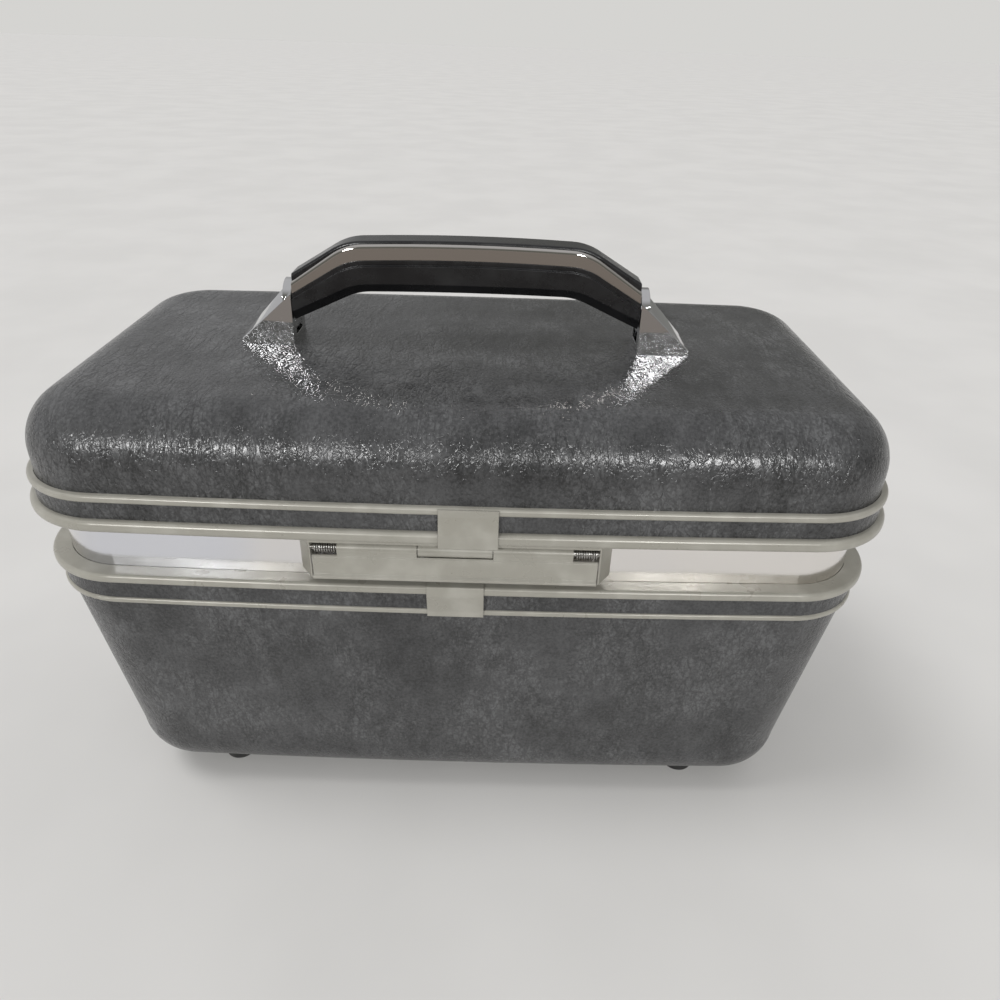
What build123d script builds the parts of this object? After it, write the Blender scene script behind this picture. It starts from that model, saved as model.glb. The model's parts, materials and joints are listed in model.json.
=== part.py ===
"""Makeup storage case with handle: a hard-sided train case with a hinged lid.

Millimetres, +Z up, front of the case towards -Y.  The origin is on the standing
surface, under the middle of the case.  Insets are measured inwards from the
outline of the lid's upper bead.
"""
from build123d import *
import math
import os

os.makedirs("parts", exist_ok=True)

# ---------------------------------------------------------------- driving sizes
case_w = 350.0            # over the lid's upper bead
case_d = 187.6
corner_r = 37.0           # in plan
long_bow = 3.1            # how far the long sides bow outwards
foot_h = 6.0
base_h = 124.7            # underside of the base to the ledge
recess_h = 21.5           # ledge to the underside of the lid's bead
lid_h = 47.7              # underside of the lid's bead to the lid's top edge
taper_x = 12.5            # how far each end of the base leans in, down to its floor
taper_y = 4.0
base_edge_r = 24.0
lid_edge_r = 23.6
wall = 2.4                # moulded shells

# ---------------------------------------------------------------- frame extrusions
ledge_out = 0.7           # inset of the ledge's edge
ledge_t = 1.7
base_bead_h = 3.9         # the bead that the ledge ends in
base_strip_h = 8.6        # grained strip between the base's beads
low_bead_h = 2.6
low_bead_out = 2.5
base_web_out = 3.9
base_shell_out = 4.7      # inset of the base shell's rim
base_flange_h = 11.7      # inner leg of the base's channel
band_out = 8.2            # inset of the polished band's face
band_t = 1.2
band_tongue = 3.8         # how far the band reaches up into the lid
lid_bead_out = -1.5
lid_bead_h = 5.1
lid_strip_h = 7.5
top_bead_h = 3.1
lid_web_out = 1.9
lid_shell_out = 2.8
lid_floor_t = 1.4         # underside of the lid's channel
lid_flange_t = 1.2
lid_flange_h = 7.8
strip_t = 0.6
strip_gap = 0.1
mouth_gap = 0.6           # between the lid's mouth and the band
seat_gap = 0.1            # between curved pieces that seat on each other

# ---------------------------------------------------------------- hardware
foot_d = 16.0
foot_in_x = 63.0          # middle of each foot from the case's end
foot_in_y = 31.8
screw_d = 3.6
hinge_in = 80.0           # middle of each hinge from the case's end
hinge_w = 46.0
hinge_below = 4.2         # hinge axis below the lid's underside
knuckle_r = 2.8
hinge_pin_r = 1.2
hinge_knuckles = 5
leaf_t = 1.1
run_gap = 0.05            # radial clearance of a running fit
side_gap = 0.3            # between neighbouring knuckles
lid_open = 100.0          # degrees at which the lid meets its stop
rivet_r = 1.0
rivet_head_r = 1.7
rivet_head_h = 0.7
rivet_below = 3.4         # base rivets below the lid's stop
stop_below = 4.9          # stop tab below the hinge axis
stop_reach = 2.4          # stop tab beyond the hinge axis
leaf_foot = 6.0           # base leaf below the stop tab
hinge_back = 3.6          # hinge axis inside the lid's bead
pin_head = 0.7

latch_w = 111.0           # lever's face
latch_back_w = 123.0      # latch housing where it meets the band
latch_clear = 3.8         # housing's foot above the ledge
latch_in = 0.6            # inset of the lever's face
latch_top_t = 1.3
latch_pin_r = 1.3
latch_pin_back = 3.2      # latch pin behind the lever's face
latch_pin_below = 5.2     # latch pin below the lid's underside
latch_knuckle_r = 2.9
latch_knuckle_w = 29.0    # the lid's knuckle, in the middle
lever_knuckle_w = 31.0
lever_t = 1.4
lever_lip = 1.2
hook_w = 4.0
hook_x = 7.0
hook_t = 1.8
hook_below = 9.3          # hooks below the latch pin
hook_gap = 0.5            # hooks below the strike's lip
strike_t = 1.2
strike_w = 26.0
strap_w = 22.8
strap_t = 0.8
lid_strap_x = 5.1         # the lid's strap sits right of the latch's middle
keyhole_r = 1.1
lock_w = 14.0
lock_h = 9.0
latch_cheek = 0.9         # cheeks' thickness beside the lever at its face

handle_half = 75.0        # middle of the case to the grip's end
grip_w = 22.0
grip_top_w = 13.0
grip_bend = 51.0          # middle of the case to the grip's bend
grip_bend_r = 26.0
grip_crown = 1.3
under_drop = 13.0         # how far the grip's underside falls to its end
belly_up = 11.2           # height of the grip's wide lower half
belly_drop = 14.6
belly_bevel = 4.2
chrome_up = 2.0
chrome_h = 6.4            # strip's height in the middle and at the ends
chrome_end_h = 5.0
rim_h = 2.4               # black rim above the strip, at the ends
pin_reach = 8.0           # of the pivot pin into the grip
finger_gap = 23.3         # lid's top to the grip's underside
grip_h = 20.6
chrome_t = 2.2
pivot_up = 17.1           # handle's pivot above the lid's top
pivot_r = 2.5
pivot_gap = 0.5           # grip's end to its mount
pivot_depth = 5.3         # of the pivot pin into the mount
mount_l = 22.8
mount_w = 22.0
mount_toe = 2.3           # front and back edges of the mount at its outer end
mount_brow = 22.5         # and at its inner end
mount_peak = 27.5         # middle ridge's line at the inner end, where it is notched
mount_ridge = 3.3         # middle ridge at the outer end
mount_lean = 1.7          # how far the front face leans back at its top
mount_bevel = 0.7
mount_slot_w = 11.0       # between the two posts below the boss
mount_slot_t = 3.0
boss_r = 9.5              # round boss on the pivot
boss_t = 3.7
mount_screw_r = 1.9
mount_screw_l = 9.0
mount_screw_xs = (8.0, 15.0)
screw_head_h = 1.6
screw_head_r = 2.9

# ---------------------------------------------------------------- inside
lining_t = 1.5
soft_gap = 0.3
roof_gap = 4.2            # room above the lid's lining for the handle's fixings
plate_t = 1.2
tray_in = 15.0
tray_wall = 1.8
tray_h = 37.0
tray_below = 4.7          # tray's rim below the ledge
tray_edge_r = 8.0
tray_lip = 1.3
tray_lip_t = 1.6
divider_t = 1.8
divider_low = 4.0         # dividers below the tray's rim
grip_slot_w = 70.0        # finger slot in the middle divider
grip_slot_h = 13.0
grip_slot_rim = 6.0
grip_rise = 13.0          # middle divider above the tray's rim
grip_slope = 12.0
rest_t = 2.0
rest_depth = 16.0
rest_l = 90.0
rest_h = 14.0
pocket_t = 6.0
pocket_in = 65.0          # pocket's ends from the case's ends
pocket_up = 27.6          # pocket's foot above the floor
pocket_below_tray = 9.0
mirror_in_x = 72.0        # mirror frame from the case's ends
mirror_in_y = 37.8        # and from its long sides
mirror_frame_t = 5.0
mirror_t = 2.5
mirror_rim = 6.0
mirror_lip = 1.2
mirror_gap = 0.2

# ---------------------------------------------------------------- worked-out levels
base_bottom = foot_h
ledge_z = base_bottom + base_h
lid_z = ledge_z + recess_h
lid_top = lid_z + lid_h
low_bead_z = ledge_z - base_bead_h - base_strip_h - low_bead_h
rim_top = ledge_z - ledge_t
flange_z = ledge_z - base_flange_h
band_top = lid_z + band_tongue
band_in = band_out + band_t
top_bead_z = lid_z + lid_bead_h + lid_strip_h
shell_foot = lid_z + lid_floor_t
hinge_z = lid_z - hinge_below
latch_pin_z = lid_z - latch_pin_below
taper_z = low_bead_z - 2.0
taper_foot = base_bottom + base_edge_r + 0.5
half_d = case_d / 2
foot_x = case_w / 2 - foot_in_x
foot_y = half_d - foot_in_y
hinge_x = case_w / 2 - hinge_in
latch_h = recess_h - latch_clear
latch_proud = half_d - latch_in
latch_pin_y = latch_pin_back - latch_proud
base_inner_edge_r = base_edge_r - wall
lid_inner_edge_r = lid_edge_r - wall
foot_spots = [(x, y) for x in (-foot_x, foot_x) for y in (-foot_y, foot_y)]
mount_start = handle_half + pivot_gap
screw_spots = [(side * (mount_start + x), 0) for side in (-1, 1) for x in mount_screw_xs]
ON_FLOOR = (Align.CENTER, Align.CENTER, Align.MIN)


def outline(inset, lean=0.0):
    """The case's plan at an inset, with bowed long sides; lean is the share of the base's taper."""
    x = case_w / 2 - inset - lean * taper_x
    reach_y = half_d - inset - lean * taper_y
    y = reach_y - long_bow * (x / (case_w / 2)) ** 2
    with BuildSketch() as plan:
        with BuildLine():
            ThreePointArc((-x, -y), (0, -reach_y), (x, -y))
            Line((x, -y), (x, y))
            ThreePointArc((x, y), (0, reach_y), (-x, y))
            Line((-x, y), (-x, -y))
        make_face()
        fillet(plan.vertices(), corner_r - inset - 2 * lean)
    return plan.sketch


def side_y(x, inset):
    """Distance of a long side from the case's middle plane, at x along it."""
    chord = case_w / 2 - inset
    sag = long_bow * (chord / (case_w / 2)) ** 2
    arc_r = (chord ** 2 + sag ** 2) / (2 * sag)
    return half_d - inset - (arc_r - math.sqrt(arc_r ** 2 - x ** 2))


def swept_loop(corners, rounded=()):
    """An extrusion bent round the case: corners are (inset, height) pairs."""
    rail = outline(0).face().outer_wire()
    start = rail @ 0
    inwards = Vector(0, 0, 1).cross(rail % 0)
    if inwards.dot(start) > 0:
        inwards = inwards * -1
    across = Plane(origin=start, x_dir=inwards, z_dir=inwards.cross(Vector(0, 0, 1)))
    with BuildSketch(across) as section:
        with BuildLine():
            Polyline(*corners, close=True)
        make_face()
        for index, radius in rounded:
            spot = Vector(*corners[index])
            fillet(section.vertices().sort_by_distance(spot)[0], radius)
    sweep(section.sketch, rail)


def block(plan, low, high, mode=Mode.ADD):
    """Extrude a plan from one height to another."""
    with BuildSketch(Plane.XY.offset(low)) as face:
        add(plan)
    extrude(face.sketch, amount=high - low, mode=mode)


def lean_at(height):
    """Share of the taper at a height: all of it at the floor, none at the rim."""
    share = (taper_z - height) / (taper_z - taper_foot)
    return min(1.0, max(0.0, share))


def tub(inset, low, high, edge_r=0.0, ease=fillet):
    """Solid that fills the tapered base at an inset, with a rounded or bevelled floor edge."""
    turn_z = max(low, taper_foot)
    rim_z = min(high, taper_z) if low < taper_z else high
    with BuildPart() as filling:
        if edge_r:
            turn_z = max(turn_z, low + edge_r + 0.5)
            block(outline(inset, lean_at(low)), low, turn_z)
            ease(filling.faces().sort_by(Axis.Z)[0].edges(), edge_r)
        with BuildSketch(Plane.XY.offset(turn_z)):
            add(outline(inset, lean_at(low if edge_r else turn_z)))
        with BuildSketch(Plane.XY.offset(rim_z)):
            add(outline(inset, lean_at(rim_z)))
        loft(ruled=True)
        if high > rim_z:
            block(outline(inset), rim_z, high)
    return filling.part


def dome(inset, low, top, edge_r, ease=fillet):
    """Solid that fills the lid at an inset: upright walls and a rounded or bevelled top edge."""
    with BuildPart() as filling:
        block(outline(inset), low, top)
        ease(filling.faces().sort_by(Axis.Z)[-1].edges(), edge_r)
    return filling.part


def save(piece, name):
    piece.label = name
    export_step(piece, f"parts/{name}.step")


# ================================================================= hinge line, shared by both halves
hinge_y = side_y(hinge_x + hinge_w / 2, lid_bead_out) - hinge_back
knuckle_w = hinge_w / hinge_knuckles
leaf_front = hinge_y - knuckle_r - 1.3
lid_leaf_low = lid_z - leaf_t
rivet_y = side_y(hinge_x, (lid_bead_out + lid_web_out) / 2)
stop_z = hinge_z - stop_below
rivet_xs = [side * hinge_x + step * hinge_w / 3 for side in (-1, 1) for step in (-1, 1)]
base_rivet_z = stop_z - rivet_below

# ================================================================= base: shell and frame
lock_notch_w = strap_w + 3.0
with BuildPart() as base_shell:
    add(tub(base_shell_out, base_bottom, rim_top, base_edge_r))
    add(
        tub(base_shell_out + wall, base_bottom + wall, rim_top, base_inner_edge_r),
        mode=Mode.SUBTRACT,
    )
    # the rim is notched behind the strap for the lock
    with BuildSketch(Plane.XY.offset(flange_z)):
        with Locations((0, -half_d)):
            Rectangle(lock_notch_w, 3 * band_out)
    extrude(amount=base_flange_h, mode=Mode.SUBTRACT)
    with BuildSketch(Plane.XY.offset(base_bottom)):
        with Locations(*foot_spots):
            Circle(screw_d / 2 + 0.1)
    extrude(amount=wall, mode=Mode.SUBTRACT)
save(base_shell.part, "base_shell")

keyhole_y = -(half_d - base_shell_out - wall / 2 + 0.3)
with BuildPart() as base_frame:
    swept_loop(
        [
            (ledge_out, ledge_z),
            (band_out - seat_gap, ledge_z),
            (band_out - seat_gap, flange_z),
            (base_shell_out + wall + seat_gap, flange_z),
            (base_shell_out + wall + seat_gap, rim_top),
            (base_shell_out - seat_gap, rim_top),
            (base_shell_out - seat_gap, low_bead_z),
            (low_bead_out, low_bead_z),
            (low_bead_out, low_bead_z + low_bead_h),
            (base_web_out, low_bead_z + low_bead_h),
            (base_web_out, ledge_z - base_bead_h),
            (ledge_out, ledge_z - base_bead_h),
        ],
        rounded=((0, 1.5), (7, 1.0), (8, 1.0), (11, 1.3)),
    )
    with BuildSketch(Plane.XY.offset(ledge_z - ledge_t)):
        with Locations((0, keyhole_y)):
            Circle(keyhole_r)
    extrude(amount=ledge_t, mode=Mode.SUBTRACT)
save(base_frame.part, "base_frame")

with BuildPart() as base_inlay:
    swept_loop(
        [
            (base_web_out - strip_t - strip_gap, low_bead_z + low_bead_h + strip_gap),
            (base_web_out - strip_gap, low_bead_z + low_bead_h + strip_gap),
            (base_web_out - strip_gap, ledge_z - base_bead_h - strip_gap),
            (base_web_out - strip_t - strip_gap, ledge_z - base_bead_h - strip_gap),
        ]
    )
save(base_inlay.part, "base_inlay")

with BuildPart() as valance_band:
    swept_loop(
        [
            (band_out, flange_z),
            (band_in, flange_z),
            (band_in, band_top),
            (band_out, band_top),
        ]
    )
    for x in rivet_xs:
        with BuildSketch(Plane.XZ.offset(-half_d)):
            with Locations((x, base_rivet_z)):
                Circle(rivet_r)
        extrude(amount=3 * band_out, mode=Mode.SUBTRACT)
save(valance_band.part, "valance_band")

# ================================================================= base: strap, strike and lock
strap_out = -(half_d - ledge_out)
low_strap_out = -(half_d - low_bead_out)
with BuildPart() as base_strap:
    with BuildSketch(Plane.YZ.offset(-strap_w / 2)):
        with BuildLine():
            Polyline(
                (-(half_d - band_out), ledge_z),
                (strap_out, ledge_z),
                (strap_out, ledge_z - base_bead_h),
                (low_strap_out, low_bead_z + low_bead_h),
                (low_strap_out, low_bead_z),
                (low_strap_out - strap_t, low_bead_z),
                (low_strap_out - strap_t, low_bead_z + low_bead_h),
                (strap_out - strap_t, ledge_z - base_bead_h),
                (strap_out - strap_t, ledge_z + strap_t),
                (-(half_d - band_out), ledge_z + strap_t),
                close=True,
            )
        make_face()
    extrude(amount=strap_w)
    fillet(base_strap.edges().filter_by(Axis.X).group_by(Axis.Y)[0].sort_by(Axis.Z)[-1], strap_t * 0.9)
    with BuildSketch(Plane.XY.offset(ledge_z)):
        with Locations((0, keyhole_y)):
            Circle(keyhole_r)
    extrude(amount=strap_t, mode=Mode.SUBTRACT)
    with BuildSketch(Plane.XY.offset(ledge_z + strap_t - 0.3)):
        with Locations((0, keyhole_y)):
            SlotOverall(3.4 * keyhole_r, keyhole_r)
    extrude(amount=0.3, mode=Mode.SUBTRACT)
save(base_strap.part, "base_strap")

hook_z = latch_pin_z - hook_below
strike_z = hook_z + hook_t / 2 + hook_gap
band_y = -(half_d - band_out)
with BuildPart() as latch_strike:
    with BuildSketch(Plane.YZ.offset(-strike_w / 2)):
        with BuildLine():
            Polyline(
                (band_y + 2.0, ledge_z + strap_t + 0.3),
                (band_y - 0.8, ledge_z + strap_t + 0.3),
                (band_y - 0.8, strike_z),
                (band_y - 3.0, strike_z),
                (band_y - 3.0, strike_z + strike_t),
                (band_y + 2.0, strike_z + strike_t),
                close=True,
            )
        make_face()
    extrude(amount=strike_w)
    block(outline(band_out), ledge_z, lid_z, mode=Mode.SUBTRACT)
save(latch_strike.part, "latch_strike")

with BuildPart() as lock_plate:
    with BuildSketch(Plane.XY.offset(rim_top - lock_h)):
        with Locations((0, -(half_d - base_shell_out - wall / 2))):
            Rectangle(lock_w, wall - 0.3)
    extrude(amount=lock_h - 0.1)
    with BuildSketch(Plane.XY.offset(rim_top - 3.0)):
        with Locations((0, -(half_d - base_shell_out - wall / 2))):
            Rectangle(2 * keyhole_r, 0.8)
    extrude(amount=3.0, mode=Mode.SUBTRACT)
save(lock_plate.part, "lock_plate")

# ================================================================= base: feet
foot_head_r = 3.6
with BuildPart() as feet:
    with Locations(*[(x, y, 0) for x, y in foot_spots]):
        Cone(foot_d / 2 - 0.8, foot_d / 2, foot_h, align=ON_FLOOR)
    chamfer(feet.edges().group_by(Axis.Z)[0], 1.0)
    with Locations(*[(x, y, 0) for x, y in foot_spots]):
        Cylinder(foot_head_r + 0.1, 2.5, align=ON_FLOOR, mode=Mode.SUBTRACT)
        Cylinder(screw_d / 2 + 0.1, foot_h, align=ON_FLOOR, mode=Mode.SUBTRACT)
save(feet.part, "feet")

with BuildPart() as foot_screws:
    for x, y in foot_spots:
        with BuildSketch(Plane.XY.offset(1.0)):
            with Locations((x, y)):
                Circle(foot_head_r)
        extrude(amount=1.4)
        with BuildSketch(Plane.XY.offset(1.0)):
            with Locations((x, y)):
                Circle(screw_d / 2)
        extrude(amount=base_bottom + wall - 1.0)
        with BuildSketch(Plane.XY.offset(1.0)):
            with Locations((x, y)):
                Rectangle(5.0, 0.9)
        extrude(amount=0.6, mode=Mode.SUBTRACT)
save(foot_screws.part, "foot_screws")

# ================================================================= hinges
def knuckle(axis_y, axis_z, start, length, radius, foot):
    """A barrel on the X axis and the web that carries it; foot is the web's (y, y, z, z) box."""
    y_near, y_far, z_near, z_far = foot
    with BuildSketch(Plane.YZ.offset(start)) as side:
        with Locations((axis_y, axis_z)):
            Circle(radius)
        with Locations(((y_near + y_far) / 2, (z_near + z_far) / 2)):
            Rectangle(abs(y_far - y_near), abs(z_far - z_near))
    extrude(side.sketch, amount=length)


with BuildPart() as hinge_base_leaves:
    for side in (-1, 1):
        left = side * hinge_x - hinge_w / 2
        with BuildSketch(Plane.YZ.offset(left)):
            with BuildLine():
                Polyline(
                    (leaf_front - 4.0, stop_z - leaf_foot),
                    (leaf_front, stop_z - leaf_foot),
                    (leaf_front, stop_z - leaf_t),
                    (hinge_y + stop_reach, stop_z - leaf_t),
                    (hinge_y + stop_reach, stop_z),
                    (leaf_front, stop_z),
                    (leaf_front, lid_leaf_low - 0.4),
                    (leaf_front - 4.0, lid_leaf_low - 0.4),
                    close=True,
                )
            make_face()
        extrude(amount=hinge_w)
        for index in range(0, hinge_knuckles, 2):
            knuckle(
                hinge_y, hinge_z, left + index * knuckle_w, knuckle_w - side_gap, knuckle_r,
                (leaf_front - 0.5, hinge_y, hinge_z - 1.6, hinge_z + 1.6),
            )
    block(outline(band_out), ledge_z, band_top, mode=Mode.SUBTRACT)
    with BuildSketch(Plane.YZ.offset(-case_w / 2)):
        with Locations((hinge_y, hinge_z)):
            Circle(hinge_pin_r + run_gap)
    extrude(amount=case_w, mode=Mode.SUBTRACT)
    for x in rivet_xs:
        with BuildSketch(Plane.XZ.offset(-hinge_y)):
            with Locations((x, base_rivet_z)):
                Circle(rivet_r)
        extrude(amount=3 * band_out, mode=Mode.SUBTRACT)
save(hinge_base_leaves.part, "hinge_base_leaves")

with BuildPart() as hinge_lid_leaves:
    for side in (-1, 1):
        left = side * hinge_x - hinge_w / 2
        with BuildSketch(Plane.XY.offset(lid_leaf_low)):
            with Locations((side * hinge_x, hinge_y + 0.5)):
                RectangleRounded(hinge_w, 6.2, 1.0)
        extrude(amount=leaf_t)
        for index in range(1, hinge_knuckles, 2):
            knuckle(
                hinge_y, hinge_z, left + index * knuckle_w, knuckle_w - side_gap, knuckle_r,
                (hinge_y - 1.5, hinge_y + 1.5, hinge_z, lid_leaf_low + 0.5),
            )
    with BuildSketch(Plane.YZ.offset(-case_w / 2)):
        with Locations((hinge_y, hinge_z)):
            Circle(hinge_pin_r + run_gap)
    extrude(amount=case_w, mode=Mode.SUBTRACT)
    with Locations(*[(x, rivet_y, lid_leaf_low) for x in rivet_xs]):
        Cone(rivet_head_r, rivet_r, rivet_head_h, align=ON_FLOOR, mode=Mode.SUBTRACT)
        Cylinder(rivet_r, leaf_t, align=ON_FLOOR, mode=Mode.SUBTRACT)
save(hinge_lid_leaves.part, "hinge_lid_leaves")

with BuildPart() as hinge_pins:
    for side in (-1, 1):
        left = side * hinge_x - hinge_w / 2
        with BuildSketch(Plane.YZ.offset(left - 0.4)):
            with Locations((hinge_y, hinge_z)):
                Circle(hinge_pin_r)
        extrude(amount=hinge_w + 0.5)
        for start in (left - 1.1, left + hinge_w - side_gap + 0.1):
            with BuildSketch(Plane.YZ.offset(start)):
                with Locations((hinge_y, hinge_z)):
                    Circle(hinge_pin_r + pin_head)
            extrude(amount=1.0)
save(hinge_pins.part, "hinge_pins")

with BuildPart() as hinge_base_rivets:
    for x in rivet_xs:
        inside = side_y(x, band_in)
        with BuildSketch(Plane.XZ.offset(-leaf_front)):
            with Locations((x, base_rivet_z)):
                Circle(rivet_r)
        extrude(amount=leaf_front - inside)
        with BuildSketch(Plane.XZ.offset(-leaf_front - rivet_head_h)):
            with Locations((x, base_rivet_z)):
                Circle(rivet_head_r)
        extrude(amount=rivet_head_h)
save(hinge_base_rivets.part, "hinge_base_rivets")

lid_rivet_l = lid_bead_h - 1.4
with BuildPart() as hinge_lid_rivets:
    with Locations(*[(x, rivet_y, lid_leaf_low) for x in rivet_xs]):
        Cone(rivet_head_r, rivet_r, rivet_head_h, align=ON_FLOOR)
        Cylinder(rivet_r, leaf_t + lid_rivet_l, align=ON_FLOOR)
save(hinge_lid_rivets.part, "hinge_lid_rivets")

# ================================================================= base: inside
base_floor = base_bottom + wall
lining_floor = base_floor + soft_gap
lining_in = base_shell_out + wall + soft_gap
lining_face = lining_in + lining_t
lining_edge_r = base_inner_edge_r - soft_gap
lining_top = flange_z - soft_gap
tray_rim = ledge_z - tray_below
tray_floor = tray_rim - tray_h

with BuildPart() as base_lining:
    add(tub(lining_in, lining_floor, lining_top, lining_edge_r, chamfer))
    add(
        tub(lining_face, lining_floor + lining_t, lining_top, lining_edge_r - lining_t, chamfer),
        mode=Mode.SUBTRACT,
    )
    with BuildSketch(Plane.XY.offset(lining_floor)):
        with Locations(*foot_spots):
            Circle(screw_d / 2 + 1.0)
    extrude(amount=lining_t, mode=Mode.SUBTRACT)
save(base_lining.part, "base_lining")


def wall_strip(start, depth, low, high, spot, size):
    """A strip that follows the lining's face: depth thick, inside a plan rectangle."""
    with BuildPart() as strip:
        add(tub(start, low, high))
        add(tub(start + depth, low, high), mode=Mode.SUBTRACT)
        with BuildSketch(Plane.XY.offset(low)) as window:
            with Locations(spot):
                Rectangle(*size)
        extrude(window.sketch, amount=high - low, mode=Mode.INTERSECT)
    return strip.part


rest_top = tray_floor - soft_gap
rest_in = lining_face + seat_gap
for side, name in ((-1, "tray_rest_left"), (1, "tray_rest_right")):
    with BuildPart() as tray_rest:
        spot = (side * case_w / 2, 0)
        add(wall_strip(rest_in, rest_depth, rest_top - rest_t, rest_top, spot, (case_w / 2, rest_l)))
        add(wall_strip(rest_in, rest_t, rest_top - rest_h, rest_top - rest_t, spot, (case_w / 2, rest_l)))
    save(tray_rest.part, name)

pocket_size = (case_w - 2 * pocket_in, half_d)
pocket_low = base_floor + pocket_up
pocket_top = tray_floor - pocket_below_tray
pocket_turn = pocket_low + 0.35 * (pocket_top - pocket_low)
with BuildPart() as side_pocket:
    # fuller at the foot than under the elastic
    add(wall_strip(lining_face + soft_gap, pocket_t, pocket_low, pocket_turn, (0, half_d), pocket_size))
    add(wall_strip(lining_face + soft_gap, 0.8 * pocket_t, pocket_turn, pocket_top, (0, half_d), pocket_size))
save(side_pocket.part, "side_pocket")

# ================================================================= tray
with BuildPart() as tray_dividers:
    with BuildSketch(Plane.XZ.offset(-divider_t / 2)):
        with BuildLine():
            Polyline(
                (-case_w / 2, tray_floor),
                (case_w / 2, tray_floor),
                (case_w / 2, tray_rim - divider_low),
                (grip_slot_w, tray_rim - divider_low),
                (grip_slot_w / 2 + grip_slope, tray_rim + grip_rise),
                (-grip_slot_w / 2 - grip_slope, tray_rim + grip_rise),
                (-grip_slot_w, tray_rim - divider_low),
                (-case_w / 2, tray_rim - divider_low),
                close=True,
            )
        make_face()
        with Locations((0, tray_rim + grip_rise - grip_slot_rim - grip_slot_h / 2)):
            SlotOverall(grip_slot_w, grip_slot_h, mode=Mode.SUBTRACT)
    extrude(amount=divider_t)
    for x in (-case_w / 6, case_w / 6):
        with BuildSketch(Plane.XY.offset(tray_floor)):
            with Locations((x, -case_d / 4), (x, case_d / 4)):
                Rectangle(divider_t, case_d / 2 + divider_t)
        extrude(amount=tray_h - divider_low)
    add(tub(tray_in + tray_wall / 2, tray_floor, tray_rim + grip_rise), mode=Mode.INTERSECT)

with BuildPart() as tray:
    add(tub(tray_in, tray_floor, tray_rim, tray_edge_r))
    add(
        tub(tray_in + tray_wall, tray_floor + tray_wall, tray_rim, tray_edge_r - tray_wall),
        mode=Mode.SUBTRACT,
    )
    add(tub(tray_in - tray_lip, tray_rim - tray_lip_t, tray_rim))
    add(tub(tray_in + tray_wall, tray_rim - tray_lip_t, tray_rim), mode=Mode.SUBTRACT)
    add(tray_dividers.part)
save(tray.part, "tray")

# ================================================================= lid: shell and frame
with BuildPart() as lid_shell:
    add(dome(lid_shell_out, shell_foot, lid_top, lid_edge_r))
    add(dome(lid_shell_out + wall, shell_foot, lid_top - wall, lid_inner_edge_r), mode=Mode.SUBTRACT)
    with BuildSketch(Plane.XY.offset(lid_top - 2 * wall)):
        with Locations(*screw_spots):
            Circle(mount_screw_r + 0.1)
    extrude(amount=4 * wall, mode=Mode.SUBTRACT)
save(lid_shell.part, "lid_shell")

with BuildPart() as lid_frame:
    swept_loop(
        [
            (lid_bead_out, lid_z),
            (lid_bead_out, lid_z + lid_bead_h),
            (lid_web_out, lid_z + lid_bead_h),
            (lid_web_out, top_bead_z),
            (0, top_bead_z),
            (0, top_bead_z + top_bead_h),
            (lid_shell_out - seat_gap, top_bead_z + top_bead_h),
            (lid_shell_out - seat_gap, shell_foot),
            (lid_shell_out + wall + seat_gap, shell_foot),
            (lid_shell_out + wall + seat_gap, lid_z + lid_flange_h),
            (lid_shell_out + wall + seat_gap + lid_flange_t, lid_z + lid_flange_h),
            (lid_shell_out + wall + seat_gap + lid_flange_t, shell_foot),
            (band_out - mouth_gap, shell_foot),
            (band_out - mouth_gap, lid_z),
        ],
        rounded=((0, 2.0), (1, 2.0), (4, 1.2), (5, 1.2)),
    )
    with Locations(*[(x, rivet_y, lid_z) for x in rivet_xs]):
        Cylinder(rivet_r, lid_rivet_l, align=ON_FLOOR, mode=Mode.SUBTRACT)
save(lid_frame.part, "lid_frame")

with BuildPart() as lid_inlay:
    swept_loop(
        [
            (lid_web_out - strip_t - strip_gap, lid_z + lid_bead_h + strip_gap),
            (lid_web_out - strip_gap, lid_z + lid_bead_h + strip_gap),
            (lid_web_out - strip_gap, top_bead_z - strip_gap),
            (lid_web_out - strip_t - strip_gap, top_bead_z - strip_gap),
        ]
    )
save(lid_inlay.part, "lid_inlay")

with BuildPart() as lid_strap:
    nearest_x = max(0.0, lid_strap_x - strap_w / 2)
    low_out = -side_y(nearest_x, lid_bead_out)
    high_out = -side_y(nearest_x, 0)
    with BuildSketch(Plane.YZ.offset(lid_strap_x - strap_w / 2)):
        with BuildLine():
            Polyline(
                (low_out, lid_z - 0.6),
                (low_out - strap_t, lid_z - 0.6),
                (low_out - strap_t, lid_z + lid_bead_h),
                (high_out - strap_t, top_bead_z),
                (high_out - strap_t, top_bead_z + top_bead_h),
                (high_out, top_bead_z + top_bead_h),
                (high_out, top_bead_z),
                (low_out, lid_z + lid_bead_h),
                close=True,
            )
        make_face()
    extrude(amount=strap_w)
save(lid_strap.part, "lid_strap")

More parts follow.
